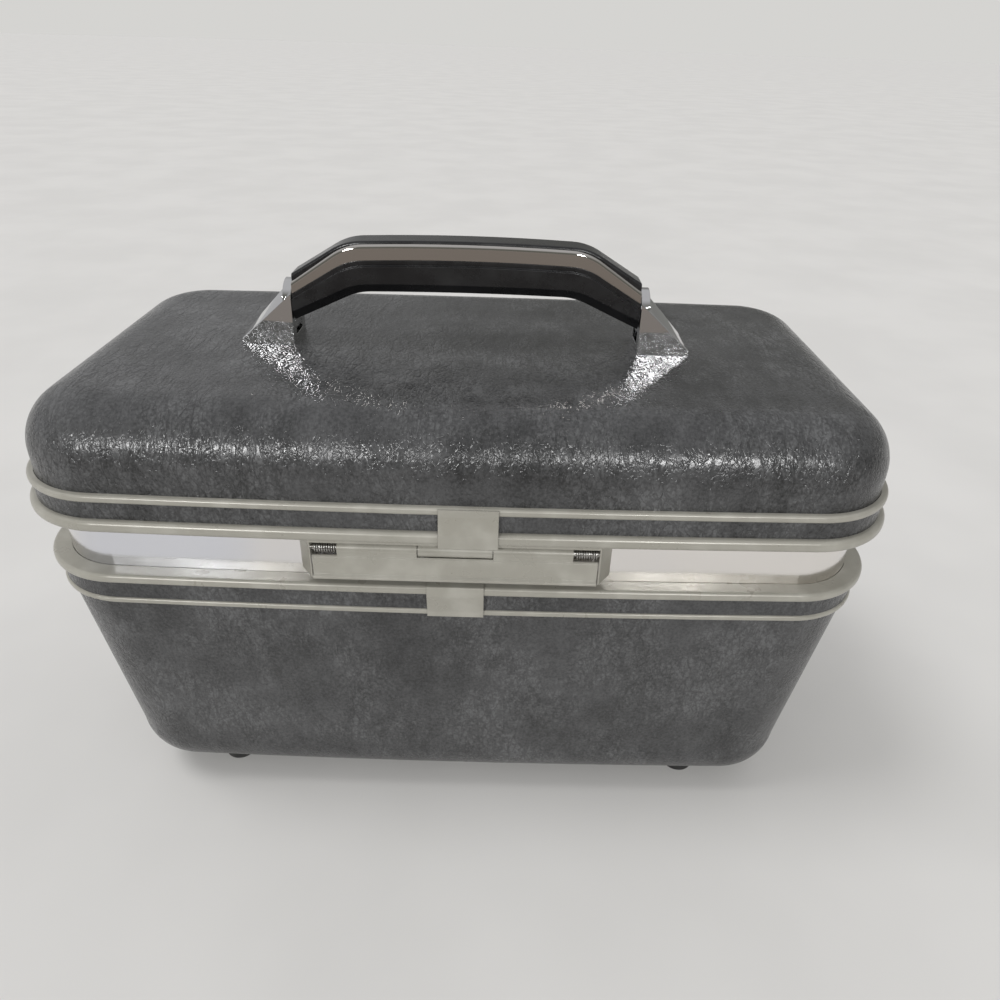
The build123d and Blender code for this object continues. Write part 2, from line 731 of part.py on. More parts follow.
# ================================================================= lid: latch
latch_low = lid_z - latch_h
cheek_in = latch_w / 2 + 0.4
housing_back = -(half_d - band_out + mouth_gap)
with BuildPart() as latch_housing:
    with BuildSketch(Plane.XY.offset(lid_z - latch_top_t)):
        with BuildLine():
            Polyline(
                (-latch_back_w / 2, housing_back),
                (-latch_w / 2 - latch_cheek, -latch_proud),
                (latch_w / 2 + latch_cheek, -latch_proud),
                (latch_back_w / 2, housing_back),
                close=True,
            )
        make_face()
    extrude(amount=latch_top_t)
    for side in (-1, 1):
        with BuildSketch(Plane.XY.offset(latch_low)):
            with BuildLine():
                Polyline(
                    (side * latch_back_w / 2, housing_back),
                    (side * (latch_w / 2 + latch_cheek), -latch_proud),
                    (side * cheek_in, -latch_proud),
                    (side * cheek_in, housing_back),
                    close=True,
                )
            make_face()
        extrude(amount=latch_h)
    knuckle(
        latch_pin_y, latch_pin_z, -latch_knuckle_w / 2, latch_knuckle_w, latch_knuckle_r,
        (latch_pin_y - 1.4, latch_pin_y + 2.2, latch_pin_z, lid_z - latch_top_t + 0.5),
    )
    block(outline(band_out - mouth_gap), ledge_z, lid_z, mode=Mode.SUBTRACT)
    with BuildSketch(Plane.YZ.offset(-cheek_in - 1.5)):
        with Locations((latch_pin_y, latch_pin_z)):
            Circle(latch_pin_r + run_gap)
    extrude(amount=2 * cheek_in + 3.0, mode=Mode.SUBTRACT)
save(latch_housing.part, "latch_housing")

with BuildPart() as latch_pin:
    with BuildSketch(Plane.YZ.offset(-cheek_in - 1.3)):
        with Locations((latch_pin_y, latch_pin_z)):
            Circle(latch_pin_r)
    extrude(amount=2 * cheek_in + 2.6)
save(latch_pin.part, "latch_pin")

lever_inner = latch_knuckle_w / 2 + side_gap
lever_low = latch_low + 0.2
with BuildPart() as latch_lever:
    with BuildSketch(Plane.YZ.offset(-latch_w / 2)):
        with BuildLine():
            Polyline(
                (-latch_proud + lever_t, lever_low),
                (-latch_proud - lever_lip, lever_low),
                (-latch_proud - lever_lip, lever_low + 0.9),
                (-latch_proud, lever_low + 1.8),
                (-latch_proud, latch_pin_z - 2.8),
                (-latch_proud + 0.6, latch_pin_z - 2.2),
                (-latch_proud + lever_t, latch_pin_z - 2.2),
                close=True,
            )
        make_face()
    extrude(amount=latch_w)
    for start in (-lever_inner - lever_knuckle_w, lever_inner):
        knuckle(
            latch_pin_y, latch_pin_z, start, lever_knuckle_w, latch_knuckle_r,
            (-latch_proud + 0.5, latch_pin_y + 0.5, latch_pin_z - 4.2, latch_pin_z - 1.0),
        )
    with BuildSketch(Plane.YZ.offset(-latch_w / 2)):
        with Locations((latch_pin_y, latch_pin_z)):
            Circle(latch_pin_r + run_gap)
    extrude(amount=latch_w, mode=Mode.SUBTRACT)
    with BuildSketch(Plane.YZ.offset(-lever_inner)):
        with Locations((latch_pin_y, latch_pin_z)):
            Circle(latch_knuckle_r + side_gap)
    extrude(amount=2 * lever_inner, mode=Mode.SUBTRACT)
    for side in (-1, 1):
        with BuildSketch(Plane.YZ.offset(side * hook_x - hook_w / 2)):
            with BuildLine():
                Polyline(
                    (-latch_proud + 0.7, hook_z - hook_t / 2 - 1.6),
                    (band_y - 2.4, hook_z - hook_t / 2),
                    (band_y - 1.3, hook_z - hook_t / 2),
                    (band_y - 1.3, hook_z + hook_t / 2),
                    (-latch_proud + 0.7, hook_z + hook_t / 2),
                    close=True,
                )
            make_face()
        extrude(amount=hook_w)
save(latch_lever.part, "latch_lever")

spring_gap = 0.5
spring_l = cheek_in - lever_inner - lever_knuckle_w - 2 * spring_gap
with BuildPart() as latch_springs:
    for side in (-1, 1):
        start = lever_inner + lever_knuckle_w + spring_gap
        with BuildSketch(Plane.YZ.offset(start if side > 0 else -start - spring_l)):
            with Locations((latch_pin_y, latch_pin_z)):
                Circle(latch_pin_r + 1.0)
                Circle(latch_pin_r + 0.3, mode=Mode.SUBTRACT)
        extrude(amount=spring_l)
save(latch_springs.part, "latch_springs")

# ================================================================= lid: inside
lid_lining_in = lid_shell_out + wall + soft_gap
roof_z = lid_top - wall - roof_gap
lid_lining_low = lid_z + lid_flange_h + soft_gap
lid_lining_edge = lid_inner_edge_r - soft_gap
with BuildPart() as lid_lining:
    add(dome(lid_lining_in, lid_lining_low, roof_z, lid_lining_edge, chamfer))
    add(
        dome(lid_lining_in + lining_t, lid_lining_low, roof_z - lining_t, lid_lining_edge - lining_t, chamfer),
        mode=Mode.SUBTRACT,
    )
save(lid_lining.part, "lid_lining")

mirror_low = roof_z - lining_t - soft_gap - mirror_frame_t
mirror_seat = mirror_low + mirror_lip
mirror_w = case_w - 2 * mirror_in_x
mirror_d = case_d - 2 * mirror_in_y
with BuildPart() as mirror_frame:
    with BuildSketch(Plane.XY.offset(mirror_low)):
        RectangleRounded(mirror_w, mirror_d, mirror_rim + 2.0)
    extrude(amount=mirror_frame_t)
    chamfer(mirror_frame.edges().group_by(Axis.Z)[0], mirror_lip)
    with BuildSketch(Plane.XY.offset(mirror_low)):
        RectangleRounded(mirror_w - 2 * mirror_rim, mirror_d - 2 * mirror_rim, mirror_rim - 2.0)
    extrude(amount=mirror_lip, mode=Mode.SUBTRACT)
    with BuildSketch(Plane.XY.offset(mirror_seat)):
        RectangleRounded(mirror_w - mirror_rim, mirror_d - mirror_rim, mirror_rim - 1.0)
    extrude(amount=mirror_t + mirror_gap, mode=Mode.SUBTRACT)
save(mirror_frame.part, "mirror_frame")

with BuildPart() as mirror_glass:
    with BuildSketch(Plane.XY.offset(mirror_seat)):
        RectangleRounded(
            mirror_w - mirror_rim - 2 * mirror_gap, mirror_d - mirror_rim - 2 * mirror_gap, mirror_rim - 1.0 - mirror_gap
        )
    extrude(amount=mirror_t)
save(mirror_glass.part, "mirror_glass")

plate_top = lid_top - wall - seat_gap
with BuildPart() as handle_plate:
    with BuildSketch(Plane.XY.offset(plate_top - plate_t)):
        RectangleRounded(2 * (handle_half + mount_l), mount_w + 8.0, 5.0)
        with Locations(*screw_spots):
            Circle(mount_screw_r + 0.1, mode=Mode.SUBTRACT)
    extrude(amount=plate_t)
save(handle_plate.part, "handle_plate")

with BuildPart() as mount_screws:
    with Locations(*[(x, y, plate_top - plate_t - screw_head_h) for x, y in screw_spots]):
        Cylinder(screw_head_r, screw_head_h, align=ON_FLOOR)
        Cylinder(mount_screw_r, mount_screw_l, align=ON_FLOOR)
save(mount_screws.part, "mount_screws")

# ================================================================= handle mounts
pivot_z = lid_top + pivot_up
bevel_fall = 0.7 * mount_bevel


def mount_section(ridge, edge_z, lean):
    """Half-round of corners of a mount's section, from the front foot to the back foot."""
    half_w = mount_w / 2
    front = [
        (-half_w, lid_top),
        (-half_w + lean, lid_top + edge_z - bevel_fall),
        (-half_w + lean + mount_bevel, lid_top + edge_z),
    ]
    back = [(-y, z) for y, z in reversed(front)]
    return [*front, (0, lid_top + ridge), *back]


for side, name in ((-1, "handle_mount_left"), (1, "handle_mount_right")):
    with BuildPart() as mount:
        with BuildSketch(Plane.YZ.offset(side * (mount_start + mount_l))):
            with BuildLine():
                Polyline(*mount_section(mount_ridge, mount_toe, 0.0), close=True)
            make_face()
        with BuildSketch(Plane.YZ.offset(side * mount_start)):
            with BuildLine():
                Polyline(*mount_section(mount_peak, mount_brow, mount_lean), close=True)
            make_face()
        loft(ruled=True)
        # the roof is notched back to a point, and a round boss stands in the notch
        with BuildSketch(Plane.XY.offset(pivot_z)):
            with BuildLine():
                Polyline(
                    (side * mount_start, -boss_r),
                    (side * (mount_start + boss_t), 0),
                    (side * mount_start, boss_r),
                    close=True,
                )
            make_face()
        extrude(amount=mount_peak, mode=Mode.SUBTRACT)
        with BuildSketch(Plane.XY.offset(lid_top + mount_slot_t)):
            with Locations((side * (mount_start + mount_slot_t / 2), 0)):
                Rectangle(mount_slot_t, mount_slot_w)
        extrude(amount=pivot_up - mount_slot_t, mode=Mode.SUBTRACT)
        with BuildSketch(Plane.YZ.offset(side * mount_start)):
            with Locations((0, pivot_z)):
                Circle(boss_r)
        extrude(amount=side * boss_t)
        with BuildSketch(Plane.YZ.offset(side * mount_start)):
            with Locations((0, pivot_z)):
                Circle(pivot_r + run_gap)
        extrude(amount=side * (pivot_depth + side_gap), mode=Mode.SUBTRACT)
        with Locations(*[(x, y, lid_top) for x, y in screw_spots]):
            Cylinder(mount_screw_r, mount_screw_l - wall - plate_t, align=ON_FLOOR, mode=Mode.SUBTRACT)
    save(mount.part, name)

with BuildPart() as handle_pins:
    for side in (-1, 1):
        with BuildSketch(Plane.YZ.offset(side * (mount_start + pivot_depth))):
            with Locations((0, pivot_z)):
                Circle(pivot_r)
        extrude(amount=-side * (pivot_depth + pivot_gap + pin_reach))
save(handle_pins.part, "handle_pins")

# ================================================================= handle
grip_low = lid_top + finger_gap


def grip_side(low, high, back=0.0):
    """Side view of one layer of the grip, between two of its (middle, end, bend, bow) lines."""
    low_mid, low_end, low_bend, low_bow = low
    high_mid, high_end, high_bend, high_bow = high
    with BuildSketch(Plane.XZ.offset(-back)) as side_view:
        with BuildLine():
            Polyline((-low_bend, low_mid), (-handle_half, low_end), (-handle_half, high_end), (-high_bend, high_mid))
            ThreePointArc((-high_bend, high_mid), (0, high_mid + high_bow), (high_bend, high_mid))
            Polyline((high_bend, high_mid), (handle_half, high_end), (handle_half, low_end), (low_bend, low_mid))
            ThreePointArc((low_bend, low_mid), (0, low_mid + low_bow), (-low_bend, low_mid))
        make_face()
        bends = [v for v in side_view.vertices() if abs(abs(v.X) - handle_half) > 1.0]
        fillet(bends, grip_bend_r)
    return side_view.sketch


under_line = (grip_low, grip_low - under_drop, grip_bend - 4.5, 0.5 * grip_crown)
belly_line = (grip_low + belly_up, grip_low + belly_up - belly_drop, grip_bend - 1.0, grip_crown)
chrome_low = (belly_line[0] + chrome_up, belly_line[1] + chrome_up, grip_bend - 0.5, grip_crown)
chrome_high = (chrome_low[0] + chrome_h, chrome_low[1] + chrome_end_h, grip_bend, grip_crown)
top_line = (grip_low + grip_h, chrome_high[1] + rim_h + 0.6, grip_bend + 0.5, grip_crown)


def near_line(edge, line):
    """True when an edge's middle lies on a line of the grip's side view."""
    middle, end, bend, bow = line
    spot = edge.center()
    along = max(0.0, (abs(spot.X) - bend) / (handle_half - bend))
    return abs(spot.Z - (middle + along * (end - middle))) < 3.2 and abs(spot.X) < handle_half - 0.5


with BuildPart() as handle_grip:
    extrude(grip_side(under_line, belly_line), amount=grip_w / 2, both=True)
    flanks = handle_grip.faces().filter_by(Axis.Y).edges()
    chamfer([edge for edge in flanks if near_line(edge, under_line)], belly_bevel)
    extrude(grip_side(belly_line, chrome_low), amount=grip_top_w / 2 + chrome_t + 0.4, both=True)
    extrude(grip_side(chrome_low, top_line), amount=grip_top_w / 2, both=True)
    tops = [
        edge for edge in handle_grip.edges()
        if near_line(edge, top_line) and abs(abs(edge.center().Y) - grip_top_w / 2) < 0.1
        and edge.center().Z > chrome_high[1]
    ]
    fillet(tops, 1.2)
    for side in (-1, 1):
        with BuildSketch(Plane.YZ.offset(side * handle_half)):
            with Locations((0, pivot_z)):
                Circle(pivot_r + run_gap)
        extrude(amount=-side * (pin_reach + 1.0), mode=Mode.SUBTRACT)
save(handle_grip.part, "handle_grip")

for side, name in ((-1, "handle_chrome_front"), (1, "handle_chrome_back")):
    with BuildPart() as handle_chrome:
        extrude(grip_side(chrome_low, chrome_high, side * grip_top_w / 2), amount=-side * chrome_t)
        rims = [
            edge for edge in handle_chrome.edges()
            if near_line(edge, chrome_high) and abs(abs(edge.center().Y) - grip_top_w / 2 - chrome_t) < 0.1
        ]
        fillet(rims, chrome_t * 0.7)
    save(handle_chrome.part, name)
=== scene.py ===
"""Looks of the makeup storage case: finishes, soft pieces, springs, camera and light.

Metres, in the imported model's frame: +Z up, the case's front towards -Y.
"""
import json
import math

import bpy
from mathutils import Matrix, Vector


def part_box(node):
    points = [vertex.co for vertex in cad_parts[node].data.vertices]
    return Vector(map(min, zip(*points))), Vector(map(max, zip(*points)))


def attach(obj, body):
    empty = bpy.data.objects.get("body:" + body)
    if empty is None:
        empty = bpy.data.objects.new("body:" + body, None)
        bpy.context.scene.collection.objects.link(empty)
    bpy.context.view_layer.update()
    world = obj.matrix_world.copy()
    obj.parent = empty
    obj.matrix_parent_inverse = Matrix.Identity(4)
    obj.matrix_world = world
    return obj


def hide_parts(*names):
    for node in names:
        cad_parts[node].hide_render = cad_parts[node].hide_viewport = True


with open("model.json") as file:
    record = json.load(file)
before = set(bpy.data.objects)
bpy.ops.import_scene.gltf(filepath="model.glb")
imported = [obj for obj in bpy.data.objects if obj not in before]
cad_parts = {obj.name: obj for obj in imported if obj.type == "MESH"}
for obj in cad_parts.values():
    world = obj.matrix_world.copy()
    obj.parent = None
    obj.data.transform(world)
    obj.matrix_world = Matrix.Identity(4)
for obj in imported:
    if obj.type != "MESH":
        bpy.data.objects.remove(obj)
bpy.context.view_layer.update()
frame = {"nodes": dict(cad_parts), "record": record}
nodes = frame["nodes"]
scene = bpy.context.scene

# ---------------------------------------------------------------- camera, from the photograph
CAMERA_PLACE = (0.0155, -0.3388, 0.3192)
CAMERA_YAW = 0.0049       # radians, to the right of +Y
CAMERA_PITCH = 0.539      # radians, downwards
CAMERA_ROLL = 0.0312
CAMERA_SENSOR = 36.0      # millimetres, as is the lens
CAMERA_LENS = 27.92

# ---------------------------------------------------------------- colours, linear
SHELL_DARK = (0.026, 0.0265, 0.027, 1)
SHELL_LIGHT = (0.122, 0.123, 0.126, 1)
# painted shade: the colour that the grain's valleys are darkened towards
SHELL_VALLEY_SHADE = (0.016, 0.016, 0.017, 1)
TAUPE = (0.330, 0.318, 0.278, 1)
TAUPE_WORN = (0.400, 0.388, 0.345, 1)
# cool and warm tints of the band: painted reflections of the room
BAND_COOL = (0.76, 0.77, 0.82, 1)
BAND_WARM = (0.86, 0.83, 0.80, 1)
CHROME = (0.66, 0.66, 0.67, 1)
# darker, warmer chrome for the grip's strips: a painted reflection
CHROME_PAINTED_REFLECTION = (0.60, 0.575, 0.55, 1)
GRIP_BLACK = (0.006, 0.006, 0.007, 1)
GRIP_RUBBED = (0.015, 0.015, 0.016, 1)
RUBBER_BLACK = (0.018, 0.018, 0.018, 1)
RUBBER_DUSTY = (0.060, 0.058, 0.055, 1)
STEEL_STAINED = (0.42, 0.41, 0.39, 1)
STEEL_CLEAN = (0.66, 0.65, 0.63, 1)
# shaded and lit tones of the satin: painted light and shade that follow its crush marks
CLOTH_PAINTED_SHADE = (0.42, 0.43, 0.45, 1)
CLOTH_PAINTED_LIGHT = (0.50, 0.51, 0.53, 1)
# painted shade along the quilting's seams
CLOTH_SEAM_SHADE = (0.20, 0.205, 0.215, 1)
TRAY_GREY = (0.36, 0.37, 0.39, 1)
TRAY_PALE = (0.40, 0.41, 0.43, 1)
MIRROR_SILVER = (0.86, 0.88, 0.87, 1)
FLOOR_COLOUR = (0.67, 0.66, 0.645, 1)
FLOOR_LIGHTER = 1.06      # times the floor's colour, where it is lightest

# ---------------------------------------------------------------- quilted linings
LINING_STEP = 0.0023      # between the vertices of their meshes
LINING_THICK = 0.0015     # of the CAD linings
LINING_CORNER = 0.034     # radius in plan
LINING_EDGE = 0.022       # radius round the floor or the roof
SKIN_THICK = 0.00025
TUB_INSET = 0.0035        # from a CAD lining's outside to the tub that is drawn on to it
RIM_INSET = 0.0001
BASE_TUB_HALF = (0.1495, 0.0785)
BASE_TUB_LEAN = (0.133, 0.044)
QUILT_PITCH = 0.034
QUILT_DEPTH = 0.0011
QUILT_FULL = 1.25         # height of the diamonds before their tops are levelled off
QUILT_STEEP = 0.55        # power of their slopes: less is steeper at the seams
WALL_NORMAL = (0.35, 0.6)     # upward share of a normal where the wall's pattern fades out
FLAT_NORMAL = (0.75, 0.95)    # and where the floor's or the roof's fades in
HEM = 0.004               # flat edge of the cloth along the rim
NEAR = 1e-5               # on the square that a tub starts as, of side 2

# ---------------------------------------------------------------- elastic pocket
POCKET_STEP = 0.0009
POCKET_WALL = 0.08086     # the lining's face at the pocket's foot, and how it leans
POCKET_LEAN = 0.048
POCKET_SEWN = 0.010       # from each end to where the cloth stands free of the wall
POCKET_FULL = 0.0050      # how far it stands off, and how much less its elastic lets it
POCKET_DRAWN_IN = 0.0016
POCKET_CLOTH = 0.0004
PLEAT_PITCH = 0.0062
PLEAT_DEPTH = 0.00042
SAG_PITCH = 0.047
CASING_TALL = 0.0095
CASING_ABOVE = 0.001      # the cloth ends this far under the casing's top
CASING_THICK = 0.0007
CASING_FORWARD = 0.0009
CASING_EDGE = 0.0002

# ---------------------------------------------------------------- latch springs
SPRING_WIRE = 0.0006
SPRING_TURNS = 9
WIRE_SIDES = 12
TURN_STEPS = 28

# ---------------------------------------------------------------- floor and room
FLOOR_RADIUS = 30.0
GLOSS_FLOOR_END = (-0.62, -0.56)    # y between which bright metal sees the floor go dark: a painted dark reflection
# what gloss sees in place of the floor there: a painted dark reflection
GLOSS_PAINTED_DARK = (0.20, 0.17, 0.145, 1)
WORLD_PALE = (0.92, 0.92, 0.93, 1)
WORLD_DIM = (0.26, 0.26, 0.23, 1)
WORLD_SEEN = (1.07, 1.06, 1.03, 1)
WORLD_STRENGTH = 0.62


# ================================================================= node helpers
def start_material(name):
    """A new node material, its tree and its shader."""
    material = bpy.data.materials.new(name)
    material.use_nodes = True
    tree = material.node_tree
    return material, tree, tree.nodes["Principled BSDF"]


def add_node(tree, kind, inputs=None, **settings):
    """A node of that kind, with its settings, and its inputs given values or links."""
    made = tree.nodes.new(kind)
    for key, value in settings.items():
        setattr(made, key, value)
    for key, value in (inputs or {}).items():
        if isinstance(value, bpy.types.NodeSocket):
            tree.links.new(value, made.inputs[key])
        else:
            made.inputs[key].default_value = value
    return made


def place(tree, stretch=(1, 1, 1), turn=(0, 0, 0)):
    """Object coordinates, stretched and turned."""
    coords = add_node(tree, "ShaderNodeTexCoord")
    mapping = add_node(
        tree, "ShaderNodeMapping",
        {"Vector": coords.outputs["Object"], "Scale": stretch, "Rotation": turn},
    )
    return mapping.outputs["Vector"]


def noise(tree, where, scale, detail=4.0, roughness=0.55, distortion=0.0):
    """The value of a noise, mostly between 0.3 and 0.7."""
    return add_node(
        tree, "ShaderNodeTexNoise",
        {
            "Vector": where, "Scale": scale, "Detail": detail,
            "Roughness": roughness, "Distortion": distortion,
        },
    ).outputs["Fac"]


def ramp(tree, value, low, high, low_colour=(0, 0, 0, 1), high_colour=(1, 1, 1, 1)):
    """A smooth blend from one colour to another as a value goes from low to high."""
    made = add_node(tree, "ShaderNodeValToRGB", {"Fac": value})
    made.color_ramp.interpolation = "EASE"
    made.color_ramp.elements[0].position = low
    made.color_ramp.elements[1].position = high
    made.color_ramp.elements[0].color = low_colour
    made.color_ramp.elements[1].color = high_colour
    return made.outputs["Color"]


def mixed(tree, share, first, second):
    """A blend of two colours: sockets 6, 7 and 2 of the node are its colours and their mix."""
    made = add_node(
        tree, "ShaderNodeMix", {"Factor": share, 6: first, 7: second}, data_type="RGBA",
    )
    return made.outputs[2]


def math_node(tree, operation, a, b):
    """Two values joined by an operation."""
    return add_node(tree, "ShaderNodeMath", {0: a, 1: b}, operation=operation).outputs["Value"]


def weighted(tree, *parts):
    """The sum of (value, weight) pairs, each value times its weight."""
    total = 0.0
    for value, weight in parts:
        total = math_node(tree, "ADD", total, math_node(tree, "MULTIPLY", value, weight))
    return total


def spread(tree, value, low, high, start=0.3, end=0.7):
    """A value that goes from low to high as another goes from start to end."""
    return add_node(
        tree, "ShaderNodeMapRange",
        {"Value": value, "From Min": start, "From Max": end, "To Min": low, "To Max": high},
    ).outputs["Result"]


def swirled(tree, where, scale, reach):
    """Coordinates pushed about by a noise, so that a pattern on them isn't regular."""
    push = add_node(tree, "ShaderNodeTexNoise", {"Vector": where, "Scale": scale, "Detail": 3.0})
    centred = add_node(
        tree, "ShaderNodeVectorMath", {0: push.outputs["Color"], 1: (0.5, 0.5, 0.5)},
        operation="SUBTRACT",
    )
    return add_node(
        tree, "ShaderNodeVectorMath",
        {0: centred.outputs["Vector"], 1: (reach, reach, reach), 2: where},
        operation="MULTIPLY_ADD",
    ).outputs["Vector"]


def wrinkles(tree, where, scale, width):
    """Thin winding valleys: 0 at the bottom of a valley, 1 between them."""
    field = noise(tree, where, scale, detail=2.0, roughness=0.5, distortion=0.3)
    from_line = math_node(tree, "ABSOLUTE", math_node(tree, "SUBTRACT", field, 0.5), 0.0)
    return ramp(tree, from_line, 0.0, width)


def bump(tree, shader, layers, edge_round=0.0):
    """Bumps on the shader's normal: layers are (height, depth in metres) pairs, coarse first.

    edge_round is the small radius that sharp edges show.
    """
    normal = None
    if edge_round:
        bevel = add_node(tree, "ShaderNodeBevel", {"Radius": edge_round}, samples=6)
        normal = bevel.outputs["Normal"]
    for height, depth in layers:
        inputs = {"Height": height, "Distance": depth, "Strength": 1.0}
        if normal is not None:
            inputs["Normal"] = normal
        normal = add_node(tree, "ShaderNodeBump", inputs).outputs["Normal"]
    tree.links.new(normal, shader.inputs["Normal"])


def shade(tree, shader, colour, roughness, **constants):
    """Colour and roughness as links or values, and the shader's other sockets as constants."""
    for key, value in (("Base Color", colour), ("Roughness", roughness)):
        if isinstance(value, bpy.types.NodeSocket):
            tree.links.new(value, shader.inputs[key])
        else:
            shader.inputs[key].default_value = value
    for key, value in constants.items():
        shader.inputs[key.replace("_", " ")].default_value = value


# ================================================================= finishes
def grained_shell():
    """Dark grey moulded shell with a fine crumpled leather grain, cloudy mottling and painted shade
    in the grain's valleys.
    """
    material, tree, shader = start_material("grained_shell")
    where = place(tree)
    slanted = place(tree, stretch=(1.0, 0.6, 0.55), turn=(0, 0, 0.4))
    folded = place(tree, stretch=(1.0, 0.30, 0.45), turn=(0, 0, 0.30))
    crossing = place(tree, stretch=(1.0, 0.55, 0.6), turn=(0, 0, -0.2))

    clouds = noise(tree, where, 26.0, detail=5.0, roughness=0.60, distortion=0.4)
    streaks = noise(tree, swirled(tree, slanted, 50.0, 0.012), 120.0, detail=5.0, roughness=0.66)
    specks = noise(tree, where, 800.0, detail=3.0, roughness=0.7)
    tone = weighted(tree, (clouds, 0.34), (streaks, 0.26), (specks, 0.40))

    long_way = swirled(tree, folded, 45.0, 0.010)
    patches = ramp(tree, noise(tree, where, 30.0, detail=2.0), 0.35, 0.62)
    folds = math_node(tree, "MULTIPLY", wrinkles(tree, long_way, 210.0, 0.07), patches)
    creases = wrinkles(tree, swirled(tree, crossing, 90.0, 0.005), 420.0, 0.09)
    pebbles = noise(tree, where, 1300.0, detail=2.0, roughness=0.6)
    swells = noise(tree, long_way, 120.0, detail=2.0, roughness=0.5)

    # The wrinkles' valleys are darkened in colour as painted shade, besides their bump.
    out_of_valleys = math_node(tree, "MULTIPLY", folds, creases)
    painted_darkening = spread(tree, out_of_valleys, 0.42, 0.0, start=0.0, end=0.8)
    colour = ramp(tree, tone, 0.34, 0.66, SHELL_DARK, SHELL_LIGHT)
    bump(tree, shader, [(swells, 0.0005), (folds, 0.00016), (creases, 0.00010), (pebbles, 0.00006)])
    shade(
        tree, shader, mixed(tree, painted_darkening, colour, SHELL_VALLEY_SHADE),
        spread(tree, streaks, 0.17, 0.27),
    )
    return material


def taupe_frame():
    """Painted aluminium extrusion: satin, with small dents and rubbed spots."""
    material, tree, shader = start_material("taupe_frame")
    where = place(tree)
    rubs = noise(tree, where, 90.0, detail=3.0, roughness=0.5)
    grit = noise(tree, where, 1400.0, detail=2.0, roughness=0.5)
    colour = ramp(tree, rubs, 0.40, 0.80, TAUPE, TAUPE_WORN)
    bump(tree, shader, [(rubs, 0.00006), (grit, 0.00001)], edge_round=0.0004)
    shade(tree, shader, colour, spread(tree, rubs, 0.26, 0.34), Metallic=0.15)
    return material


def polished_band():
    """Bright rolled aluminium with faint lines along its length, and cool and warm tints in its
    colour that are painted reflections.
    """
    material, tree, shader = start_material("polished_band")
    lines = noise(tree, place(tree, stretch=(1.0, 1.0, 40.0)), 60.0, roughness=0.6)
    waves = noise(tree, place(tree), 16.0, detail=2.0, roughness=0.5)
    painted_reflection_tints = noise(tree, place(tree, stretch=(1.0, 1.0, 0.2)), 11.0, detail=3.0, roughness=0.5)
    # the band's colour wanders between cool and warm tints: painted reflection
    colour = ramp(tree, painted_reflection_tints, 0.38, 0.62, BAND_COOL, BAND_WARM)
    bump(tree, shader, [(waves, 0.0012), (lines, 0.00002)])
    shade(tree, shader, colour, spread(tree, lines, 0.10, 0.20), Metallic=1.0)
    return material


def bright_trim(name="bright_trim", tint=CHROME):
    """Chrome plating."""
    material, tree, shader = start_material(name)
    where = place(tree)
    wear = noise(tree, where, 160.0, roughness=0.6)
    bump(tree, shader, [(noise(tree, where, 45.0, detail=2.0), 0.00008)], edge_round=0.0003)
    shade(tree, shader, tint, spread(tree, wear, 0.03, 0.09, start=0.4, end=0.75), Metallic=1.0)
    return material


def black_grip():
    """Glossy black moulded plastic, softly rubbed by hands."""
    material, tree, shader = start_material("black_grip")
    where = place(tree)
    rubs = noise(tree, where, 70.0, detail=5.0, roughness=0.62)
    pores = noise(tree, where, 1300.0, detail=2.0)
    colour = ramp(tree, rubs, 0.35, 0.75, GRIP_BLACK, GRIP_RUBBED)
    bump(tree, shader, [(rubs, 0.00012), (pores, 0.00001)], edge_round=0.0004)
    shade(tree, shader, colour, spread(tree, rubs, 0.20, 0.34))
    return material


def foot_rubber():
    """Black rubber with some dust in its pores."""
    material, tree, shader = start_material("foot_rubber")
    where = place(tree)
    dust = noise(tree, where, 220.0, detail=5.0, roughness=0.65)
    colour = ramp(tree, dust, 0.4, 0.8, RUBBER_BLACK, RUBBER_DUSTY)
    bump(tree, shader, [(noise(tree, where, 900.0, detail=3.0), 0.00008)])
    shade(tree, shader, colour, 0.72)
    return material


def plated_steel():
    """Nickel-plated steel, a little stained."""
    material, tree, shader = start_material("plated_steel")
    where = place(tree)
    stains = noise(tree, where, 240.0, detail=5.0, roughness=0.6)
    colour = ramp(tree, stains, 0.35, 0.75, STEEL_STAINED, STEEL_CLEAN)
    bump(tree, shader, [(noise(tree, where, 800.0, detail=2.0), 0.00003)], edge_round=0.0002)
    shade(tree, shader, colour, 0.28, Metallic=1.0)
    return material


def lining_cloth():
    """Satin lining in silver grey, with a fine weave, soft crush marks painted lighter and darker as
    painted light and shade, and painted shade along its seams.
    """
    material, tree, shader = start_material("lining_cloth")
    where = place(tree)
    crush = noise(
        tree, place(tree, stretch=(1.0, 1.0, 2.2)), 34.0, detail=5.0, roughness=0.6, distortion=1.0,
    )
    threads = [
        add_node(
            tree, "ShaderNodeTexWave", {"Vector": where, "Scale": 320.0, "Distortion": 1.5},
            bands_direction=way,
        ).outputs["Fac"]
        for way in ("X", "Y", "Z")
    ]
    weave = weighted(tree, *((thread, 1.0) for thread in threads))
    # the crush marks' bump is real; their lighter and darker colour is painted light and shade
    colour = ramp(tree, crush, 0.3, 0.75, CLOTH_PAINTED_SHADE, CLOTH_PAINTED_LIGHT)
    seam = add_node(tree, "ShaderNodeAttribute", attribute_name="seam").outputs["Fac"]
    # the seams' grooves are darkened, deepest most: painted shade
    painted_darkening = math_node(tree, "MULTIPLY", seam, 0.55)
    bump(tree, shader, [(crush, 0.0003), (weave, 0.00003)])
    shade(
        tree, shader, mixed(tree, painted_darkening, colour, CLOTH_SEAM_SHADE), 0.44,
        Sheen_Weight=0.35, Sheen_Roughness=0.4,
    )
    return material


